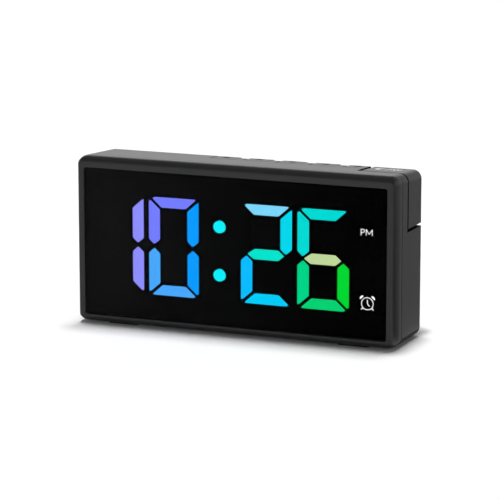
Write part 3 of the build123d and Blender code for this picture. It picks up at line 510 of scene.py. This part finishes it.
def bar_outline(name):
    """Corners of a bar: mitred level bars, uprights with a point at half height, a six-sided middle."""
    a, b, g, w, h = UPRIGHT, LEVEL, GAP, DIGIT_WIDTH, DIGIT_TALL
    lower = name.startswith(("lower", "bottom"))
    slope, middle = b / a, h - WAIST if lower else WAIST
    tip = WAIST_GAP + a / 2 * slope
    level = np.array([(g, h), (w - g, h), (w - a - g, h - b), (a + g, h - b)])
    upright = np.array([(0, h - g * slope), (a, h - b - g * slope), (a, middle + tip),
                        (a / 2, middle + WAIST_GAP), (0, middle + tip)])
    across = np.array([(a / 2 + g - TIP_LEFT, middle), (a + g, middle + b / 2),
                       (w - a - g, middle + b / 2), (w - a / 2 - g + TIP_RIGHT, middle),
                       (w - a - g, middle - b / 2), (a + g, middle - b / 2)])
    shape = {"top": level, "bottom": level, "middle": across}.get(name, upright)
    flip_x = name.endswith("right")
    shape = np.where([flip_x, lower], np.array([w, h]) - shape, shape)
    return shape[::-1] if flip_x != lower else shape


def rounded(corners, radius, inset=0.0, count=5):
    """Move each edge in, then replace each corner by an arc that starts at radius / tan(half the angle)."""
    before = np.roll(corners, 1, axis=0) - corners
    after = np.roll(corners, -1, axis=0) - corners
    before = before / np.linalg.norm(before, axis=1, keepdims=True)
    after = after / np.linalg.norm(after, axis=1, keepdims=True)
    half = np.arccos(np.clip((before * after).sum(1), -1, 1)) / 2
    radius = np.minimum(radius, ARC_REACH * np.tan(half))
    middle = before + after
    middle = middle / np.linalg.norm(middle, axis=1, keepdims=True)
    corners = corners + middle * (inset / np.sin(half))[:, None]
    centre = corners + middle * (radius / np.sin(half))[:, None]
    start = corners + before * (radius / np.tan(half))[:, None] - centre
    angle = np.arctan2(start[:, 1], start[:, 0])
    side = np.sign(before[:, 0] * after[:, 1] - before[:, 1] * after[:, 0])
    sweep = -side[:, None] * (np.pi - 2 * half)[:, None] * np.linspace(0, 1, count)
    turn = angle[:, None] + sweep
    arcs = centre[:, None] + radius[:, None, None] * np.stack([np.cos(turn), np.sin(turn)], -1)
    return arcs.reshape(-1, 2)


# %% Prisms
MASK_FRONT, GUIDE_BACK = 1.9, 3.5


def prism(outline, front, back):
    """Points and faces of an outline in X and height, carried from one depth to another."""
    count = len(outline)
    following = np.roll(outline, -1, axis=0)
    area = np.sum(outline[:, 0] * following[:, 1] - following[:, 0] * outline[:, 1])
    outline = outline if area > 0 else outline[::-1]
    ends = [np.stack([outline[:, 0], np.full(count, depth - CASE_DEPTH / 2), outline[:, 1] + FOOT], -1)
            for depth in (front, back)]
    faces = loft_faces(2, count)[:, ::-1].tolist()
    return np.concatenate(ends), faces + [list(range(count)), list(range(count, 2 * count))[::-1]]


def join(solids):
    """Several solids as one: the faces of each count on from the points of those before it."""
    starts = np.cumsum([0] + [len(points) for points, _ in solids])
    joined = [np.add(face, start).tolist() for start, (_, faces) in zip(starts, solids) for face in faces]
    return np.concatenate([points for points, _ in solids]), joined


def add_lit(name, outlines, colours, stands_for, slot, front=MASK_FRONT, back=GUIDE_BACK, gain=1.0):
    """One object of several prisms on the clock, with the light of each as a colour on its faces."""
    solids = [prism(outline, front, back) for outline in outlines]
    piece = add_piece(name, *join(solids), light_guide, "clock", [stands_for], slot)
    corners = [sum(len(face) for face in faces) for _, faces in solids]
    light = np.repeat([linear(colour) for colour in colours], corners, axis=0)
    layer = piece.data.color_attributes.new("glow", "FLOAT_COLOR", "CORNER")
    layer.data.foreach_set("color", gain * light.astype(np.float32).ravel())


# %% Four digits
BAR_ROUND, BAR_EDGE = 0.35, 0.33
ONE_RIGHT, DIGIT_LOW, DIGIT_SPACE, COLON_SPACE = -40.25, 13.45, 2.15, 18.5
TENS_LEFT = ONE_RIGHT - DIGIT_WIDTH
UNITS_LEFT = ONE_RIGHT + DIGIT_SPACE
MINUTE_TENS_LEFT = UNITS_LEFT + DIGIT_WIDTH + COLON_SPACE
MINUTE_UNITS_LEFT = MINUTE_TENS_LEFT + DIGIT_WIDTH + DIGIT_SPACE

DARK = "#000000"
PERIWINKLE, INDIGO, AZURE, SKY = "#8d8dfc", "#737cfe", "#029aff", "#47a7fb"
ICE, AQUA, LAGOON, MINT, CYAN = "#7bd6fa", "#02d6eb", "#05bbfd", "#05e3cc", "#01cbf7"
TEAL, PEAR, JADE, GREEN, EMERALD = "#02d9d3", "#bed79a", "#00d385", "#02d62f", "#06d171"
ALL_BARS = ["top", "upper_left", "upper_right", "middle", "lower_left", "lower_right", "bottom"]
HOUR_UNITS = [INDIGO, INDIGO, AZURE, DARK, SKY, AZURE, SKY]
MINUTE_TENS = [ICE, DARK, AQUA, MINT, LAGOON, DARK, CYAN]
MINUTE_UNITS = [TEAL, TEAL, DARK, PEAR, JADE, GREEN, EMERALD]
digits = {
    "hour_tens": (TENS_LEFT, ["upper_right", "lower_right"], [PERIWINKLE, PERIWINKLE], "violet_guide"),
    "hour_units": (UNITS_LEFT, ALL_BARS, HOUR_UNITS, "blue_guide"),
    "minute_tens": (MINUTE_TENS_LEFT, ALL_BARS, MINUTE_TENS, "turquoise_guide"),
    "minute_units": (MINUTE_UNITS_LEFT, ALL_BARS, MINUTE_UNITS, "green_guide"),
}
for name, (left, bars, colours, slot) in digits.items():
    # A lit bar looks a little smaller than its opening. A dark one fills it.
    outlines = [rounded(bar_outline(bar), BAR_ROUND, BAR_EDGE * (colour != DARK)) + (left, DIGIT_LOW)
                for bar, colour in zip(bars, colours)]
    add_lit(f"{name}_bars", outlines, colours, f"{name}_segments", slot)

# %% [markdown]
# ## Colon, afternoon mark and alarm mark
#
# The colon is two discs. The afternoon letters and the alarm mark are printed as clear lines in black film
# over white lamps. Text and curve objects could draw them, but they would have to be made meshes again. So
# each is a set of outlines like those of the bars: a stroke is a path widened to both sides by half the
# line's width. The lines are thinner than a pixel of the photograph, so they are lit brighter to be seen.

# %% Discs, strokes and arcs
def disc(x, height, radius, tall=1.0, count=40):
    """Circle in X and height, drawn taller or lower by a factor."""
    turn = np.linspace(0, 2 * np.pi, count, endpoint=False)
    return np.stack([x + radius * np.cos(turn), height + tall * radius * np.sin(turn)], -1)


def stroke(start, end, width, count=7):
    """Straight line with round ends: half circles of the line's width about both ends."""
    start, end = np.array(start, float), np.array(end, float)
    along = np.arctan2(end[1] - start[1], end[0] - start[0])
    turn = np.linspace(-np.pi / 2, np.pi / 2, count) + along
    cap = width / 2 * np.stack([np.cos(turn), np.sin(turn)], -1)
    return np.concatenate([end + cap, start - cap])


def arc_band(x, height, radius, width, first, last, count=24):
    """Part of a flat ring between two angles in degrees."""
    turn = np.radians(np.linspace(first, last, count))
    unit = np.stack([np.cos(turn), np.sin(turn)], -1)
    return np.concatenate([unit * (radius + width / 2), unit[::-1] * (radius - width / 2)]) + (x, height)


def half_moon(x, height, half_width, tall, turn, count=16):
    """Half an ellipse on a straight base, turned about the middle of the base."""
    sweep, turn = np.linspace(0, np.pi, count), np.radians(turn)
    along, out = half_width * np.cos(sweep), tall * np.sin(sweep)
    return np.stack([x + along * np.cos(turn) - out * np.sin(turn),
                     height + along * np.sin(turn) + out * np.cos(turn)], -1)


# %% Colon
AQUA_BRIGHT = "#07effa"
COLON_X, COLON_MIDDLE, COLON_AWAY = MINUTE_TENS_LEFT - COLON_SPACE / 2, DIGIT_LOW + WAIST, 10.0
DOT_RADIUS, DOT_TALL = 2.58, 0.96

dots = [disc(COLON_X, COLON_MIDDLE + side * COLON_AWAY, DOT_RADIUS, DOT_TALL) for side in (-1, 1)]
add_lit("colon_discs", dots, [AQUA_BRIGHT] * len(dots), "colon_dots", "cyan_guide")

# %% Afternoon letters
WHITE, LINE, MARK_GAIN = "#f4f5f8", 0.2, 1.75
MARK_FRONT, FILM_FRONT, FILM_BACK = 1.88, 1.92, 2.6
LETTER_LOW, LETTER_HIGH, BOWL, BOWL_START, DIP = 45.6, 48.0, 0.68, 0.7, 0.5
P_LEFT, M_LEFT, M_RIGHT = 54.9, 57.05, 59.6
MARK_SPACE, FILM_SHIFT, FILM_Z = 7.83, 0.5, 46.65
MARK_X = MINUTE_UNITS_LEFT + DIGIT_WIDTH + MARK_SPACE
FILM_MIDDLE, FILM_HALF = np.array([MARK_X - FILM_SHIFT, FILM_Z]), np.array([3.2, 2.2])
FOUR_CORNERS = np.array([(-1, -1), (1, -1), (1, 1), (-1, 1)])

bowl_x, bowl_low = P_LEFT + BOWL_START, LETTER_HIGH - 2 * BOWL
letters = [stroke((P_LEFT, LETTER_LOW), (P_LEFT, LETTER_HIGH), LINE)]
letters += [stroke((P_LEFT, height), (bowl_x, height), LINE) for height in (bowl_low, LETTER_HIGH)]
letters += [arc_band(bowl_x, LETTER_HIGH - BOWL, BOWL, LINE, -90, 90)]
zigzag = [(M_LEFT, LETTER_LOW), (M_LEFT, LETTER_HIGH), ((M_LEFT + M_RIGHT) / 2, LETTER_LOW + DIP),
          (M_RIGHT, LETTER_HIGH), (M_RIGHT, LETTER_LOW)]
letters += [stroke(first, second, LINE) for first, second in zip(zigzag, zigzag[1:])]
add_lit("afternoon_letters", letters, [WHITE] * len(letters), "pm_mark", "white_guide", MARK_FRONT,
        FILM_FRONT, MARK_GAIN)
letter_film = prism(FILM_MIDDLE + FILM_HALF * FOUR_CORNERS, FILM_FRONT, FILM_BACK)
add_piece("afternoon_film", *letter_film, mask_black, "clock")

# %% Alarm mark
DIAL_X, DIAL_Z, DIAL_RADIUS, HAND = 57.8, 17.95, 2.48, 0.26
HAND_TIPS = ((0.0, 1.55), (0.85, -0.95))
LEG_TOP, LEG_TIP = (1.95, -1.85), (2.6, -2.45)
BELL_AWAY, BELL_HALF, BELL_TALL, BELL_TURN = 2.33, 0.98, 0.66, 45
ALARM_FILM_Z, ALARM_FILM_RADIUS = 18.15, 3.75

dial = np.array([DIAL_X, DIAL_Z])
alarm = [arc_band(DIAL_X, DIAL_Z, DIAL_RADIUS, LINE, first, first + 180) for first in (0, 180)]
alarm += [stroke(dial, dial + tip, HAND) for tip in HAND_TIPS]
for side in (-1, 1):
    mirror = (side, 1)
    alarm += [stroke(dial + np.multiply(mirror, LEG_TOP), dial + np.multiply(mirror, LEG_TIP), HAND)]
    alarm += [half_moon(DIAL_X + side * BELL_AWAY, DIAL_Z + BELL_AWAY, BELL_HALF, BELL_TALL,
                        -BELL_TURN * side)]
add_lit("alarm_lines", alarm, [WHITE] * len(alarm), "alarm_mark", "white_guide", MARK_FRONT, FILM_FRONT,
        MARK_GAIN)
alarm_film = prism(disc(MARK_X, ALARM_FILM_Z, ALARM_FILM_RADIUS), FILM_FRONT, FILM_BACK)
add_piece("alarm_film", *alarm_film, mask_black, "clock")

# %% [markdown]
# ## Print on the snooze key
#
# A white pad print marks the snooze key: a crescent moon, a slash and a small lamp. It could be a pattern in
# the key's finish, but thin solids keep a crisp edge and move with the key. The same prisms serve, turned to
# lie on the key's sloping top.

# %% Shapes of the print
PRINT_RISE, PRINT_SINK = 0.02, 0.05
RIM_STEPS, HOLLOW_STEPS = 28, 22


def crescent(x, y, radius, away, bite):
    """Disc with a bite: an outer arc to where the two circles cross, then the bite's arc back."""
    outer = np.arccos((radius ** 2 + away ** 2 - bite ** 2) / (2 * radius * away))
    inner = np.arccos((radius * np.cos(outer) - away) / bite)
    there = np.linspace(outer, 2 * np.pi - outer, RIM_STEPS)
    back = np.linspace(2 * np.pi - inner, inner, HOLLOW_STEPS)[1:-1]
    rim = radius * np.stack([np.cos(there), np.sin(there)], -1)
    hollow = bite * np.stack([np.cos(back), np.sin(back)], -1) + (away, 0)
    return np.concatenate([rim, hollow]) + (x, y)


def lay_on_top(outline):
    """Prism turned by a quarter: its front becomes the upper face, on the top that falls to the rear."""
    points, faces = prism(outline, -PRINT_RISE, PRINT_SINK)
    y = points[:, 2] - FOOT
    sunk = points[:, 1] + CASE_DEPTH / 2
    top = CASE_HEIGHT - TOP_DROP * (y + CASE_DEPTH / 2) / CASE_DEPTH
    return np.stack([points[:, 0], y, top + FOOT - sunk], -1), faces


# %% Snooze print
SIGN_Y, SIGN_LINE = 8.4, 0.45
MOON_X, MOON_RADIUS, BITE_AWAY, BITE_RADIUS = 55.0, 2.4, 1.1, 1.9
SLASH_X, SLASH_LEAN, SLASH_HALF = 58.2, 0.6, 2.6
LAMP_X, LAMP_RADIUS, RAY_START, RAY_END = 61.5, 1.1, 1.75, 2.4

signs = [crescent(MOON_X, SIGN_Y, MOON_RADIUS, BITE_AWAY, BITE_RADIUS)]
signs += [stroke((SLASH_X - SLASH_LEAN, SIGN_Y - SLASH_HALF), (SLASH_X + SLASH_LEAN, SIGN_Y + SLASH_HALF),
                 SIGN_LINE)]
signs += [arc_band(LAMP_X, SIGN_Y, LAMP_RADIUS, SIGN_LINE, first, first + 180) for first in (0, 180)]
for turn in np.radians(np.arange(0, 360, 45)):
    start, end = [np.array([LAMP_X, SIGN_Y]) + away * np.array([np.cos(turn), np.sin(turn)])
                  for away in (RAY_START, RAY_END)]
    signs.append(stroke(start, end, SIGN_LINE))
add_piece("snooze_print", *join([lay_on_top(sign) for sign in signs]), print_white, "snooze_key")

# %% [markdown]
# ## Table
#
# The clock stands on a matt white table that fills the picture. A backdrop could close the room behind it,
# but the photograph shows no horizon, so one wide sheet is enough. A hair of its own light, for the eye and
# for mirrors only, keeps the lit part just white and leaves the shadow as it is.

# %% Table
TABLE_HALF, TABLE_POINTS, TABLE_LIFT, TABLE_MOTTLE_MM = 4.0, 9, 0.01, 60.0

table_white, tree = new_material("table_matt_white")
path = add_node(tree, "ShaderNodeLightPath").outputs
seen = add_node(tree, "ShaderNodeMath", links={0: path["Is Camera Ray"], 1: path["Is Glossy Ray"]},
                operation="MAXIMUM")
seen = add_node(tree, "ShaderNodeMath", links={0: seen.outputs["Value"], 1: path["Is Transmission Ray"]},
                operation="MAXIMUM")
lift = add_node(tree, "ShaderNodeMath", {1: TABLE_LIFT}, {0: seen.outputs["Value"]}, operation="MULTIPLY")
place = add_node(tree, "ShaderNodeTexCoord").outputs["Object"]
mottle = add_node(tree, "ShaderNodeTexNoise", {"Scale": 1 / (TABLE_MOTTLE_MM * MM)}, {"Vector": place})
tone = add_node(tree, "ShaderNodeValToRGB", links={"Fac": mottle.outputs["Fac"]},
                stops=((0.0, linear("#f4f4f4")), (1.0, linear("#f8f8f8"))))
shader = add_node(tree, "ShaderNodeBsdfPrincipled",
                  {"Roughness": 0.9, "Specular IOR Level": 0.0, "Emission Color": (1, 1, 1, 1)},
                  {"Base Color": tone.outputs["Color"], "Emission Strength": lift.outputs["Value"]})
add_node(tree, "ShaderNodeOutputMaterial", links={"Surface": shader.outputs["BSDF"]})

side = np.linspace(-TABLE_HALF, TABLE_HALF, TABLE_POINTS)
across, along = np.meshgrid(side, side, indexing="ij")
table_points = np.stack([across, along, np.zeros_like(across)], -1).reshape(-1, 3)
row = np.arange(TABLE_POINTS - 1)
start = (row[:, None] * TABLE_POINTS + row[None, :]).ravel()
table_faces = np.stack([start, start + TABLE_POINTS, start + TABLE_POINTS + 1, start + 1], -1)
table = new_object("table", table_points, table_faces, table_white)

# %% [markdown]
# ## Cards and flag
#
# A photographer sets cards round a black object to shape its reflections, and a flag to shade a spot.
# Painting those tones into the finishes would be wrong in every other view. A fan of cards lies on the table
# to the right of the clock, black towards the side and grey towards the rear, and only mirrors see it. A flag
# hangs behind the clock and only casts a shadow: it draws the soft dark patch at the rear right corner.

# %% Grey and black cards
CARD_CENTRE, CARD_REACH, CARD_RISE = np.array([0.074, 0.0]), 1.5, 0.0003
CARD_TURNS = np.radians([60, 100, 143, 180])
GREY, BLACK = 0, 1


def matt_card(name, colour):
    """Card of one plain colour, with no gloss."""
    material, tree = new_material(name)
    shader = add_node(tree, "ShaderNodeBsdfPrincipled",
                      {"Base Color": linear(colour), "Roughness": 0.9, "Specular IOR Level": 0.0})
    add_node(tree, "ShaderNodeOutputMaterial", links={"Surface": shader.outputs["BSDF"]})
    return material


card_grey, card_black = matt_card("card_matt_grey", "#a2a2a2"), matt_card("card_matt_black", "#1e1e1e")
fan = CARD_CENTRE + CARD_REACH * np.stack([np.sin(CARD_TURNS), -np.cos(CARD_TURNS)], -1)
fan = np.vstack([CARD_CENTRE, fan])
card_points = np.column_stack([fan, np.full(len(fan), CARD_RISE)])
cards = new_object("cards", card_points, [(0, 1, 2), (0, 2, 3), (0, 3, 4)], card_grey, card_black)
cards.data.polygons.foreach_set("material_index", np.array([BLACK, BLACK, GREY], np.int32))
cards.visible_camera = cards.visible_diffuse = cards.visible_transmission = cards.visible_shadow = False

# %% Flag behind the clock
FLAG_LEFT, FLAG_RIGHT, FLAG_NEAR, FLAG_FAR = -0.0705, 0.0692, 0.0165, 0.0325
FLAG_CUT, FLAG_HEIGHT = 0.006, 0.034

flag_points = [(x, y, FLAG_HEIGHT) for x, y in (
    (FLAG_LEFT, FLAG_NEAR), (FLAG_RIGHT, FLAG_NEAR), (FLAG_RIGHT, FLAG_FAR - FLAG_CUT),
    (FLAG_RIGHT - FLAG_CUT, FLAG_FAR), (FLAG_LEFT, FLAG_FAR))]
flag = new_object("flag", flag_points, [range(len(flag_points))], card_black)
flag.visible_camera = flag.visible_diffuse = flag.visible_glossy = flag.visible_transmission = False

# %% [markdown]
# ## Room and lamps
#
# Two broad suns stand almost overhead, one straighter and one further back, so the shadow is short: dark
# under the case and gone three centimetres in front of it. One lamp alone gives either the dark foot of that
# shadow or its soft end, not both. They are kept out of mirror reflections, as a polarising filter would do.
# The room is pale at the horizon and grey overhead, which leaves a dark line along the rounded edges. A soft
# box low at the back draws the sheen on the top face.

# %% Room
HORIZON, OVERHEAD = (0.2, (0.7, 0.7, 0.7, 1)), (0.5, (0.08, 0.08, 0.08, 1))

world = bpy.data.worlds.new("white_room")
world.use_nodes = True
tree = world.node_tree
tree.nodes.clear()
direction = add_node(tree, "ShaderNodeTexCoord").outputs["Generated"]
height = add_node(tree, "ShaderNodeSeparateXYZ", links={"Vector": direction}).outputs["Z"]
shade = add_node(tree, "ShaderNodeValToRGB", links={"Fac": height}, stops=(HORIZON, OVERHEAD))
room = add_node(tree, "ShaderNodeBackground", links={"Color": shade.outputs["Color"]})
add_node(tree, "ShaderNodeOutputWorld", links={"Surface": room.outputs["Background"]})
bpy.context.scene.world = world
print("room ready")

# %% Lamps
HIGH_SUN = (*np.tan(np.radians((-3.7, 3.6))), 1.0)
BACK_SUN = (*np.tan(np.radians((0.8, 11.3))), 1.0)
SOFTBOX, SOFTBOX_AIM = (-0.42, 1.0, 0.29), (0, 0, 0.07)


def add_lamp(name, kind, energy, location, aim, glossy=True, **settings):
    """Lamp whose beam, its own minus Z, points from its location to an aim."""
    data = bpy.data.lights.new(name, kind)
    data.energy = energy
    for setting, value in settings.items():
        setattr(data, setting, value)
    lamp = bpy.data.objects.new(name, data)
    lamp.location = location
    lamp.rotation_euler = (Vector(aim) - Vector(location)).to_track_quat("-Z", "Y").to_euler()
    lamp.visible_glossy = glossy
    lamp.visible_camera = False
    bpy.context.scene.collection.objects.link(lamp)
    print(name, np.round(location, 3).tolist())


add_lamp("high_sun", "SUN", 1.79, HIGH_SUN, (0, 0, 0), glossy=False, angle=np.radians(8))
add_lamp("back_sun", "SUN", 1.21, BACK_SUN, (0, 0, 0), glossy=False, angle=np.radians(10))
add_lamp("back_softbox", "AREA", 1.25, SOFTBOX, SOFTBOX_AIM, shape="RECTANGLE", size=0.9, size_y=0.35)
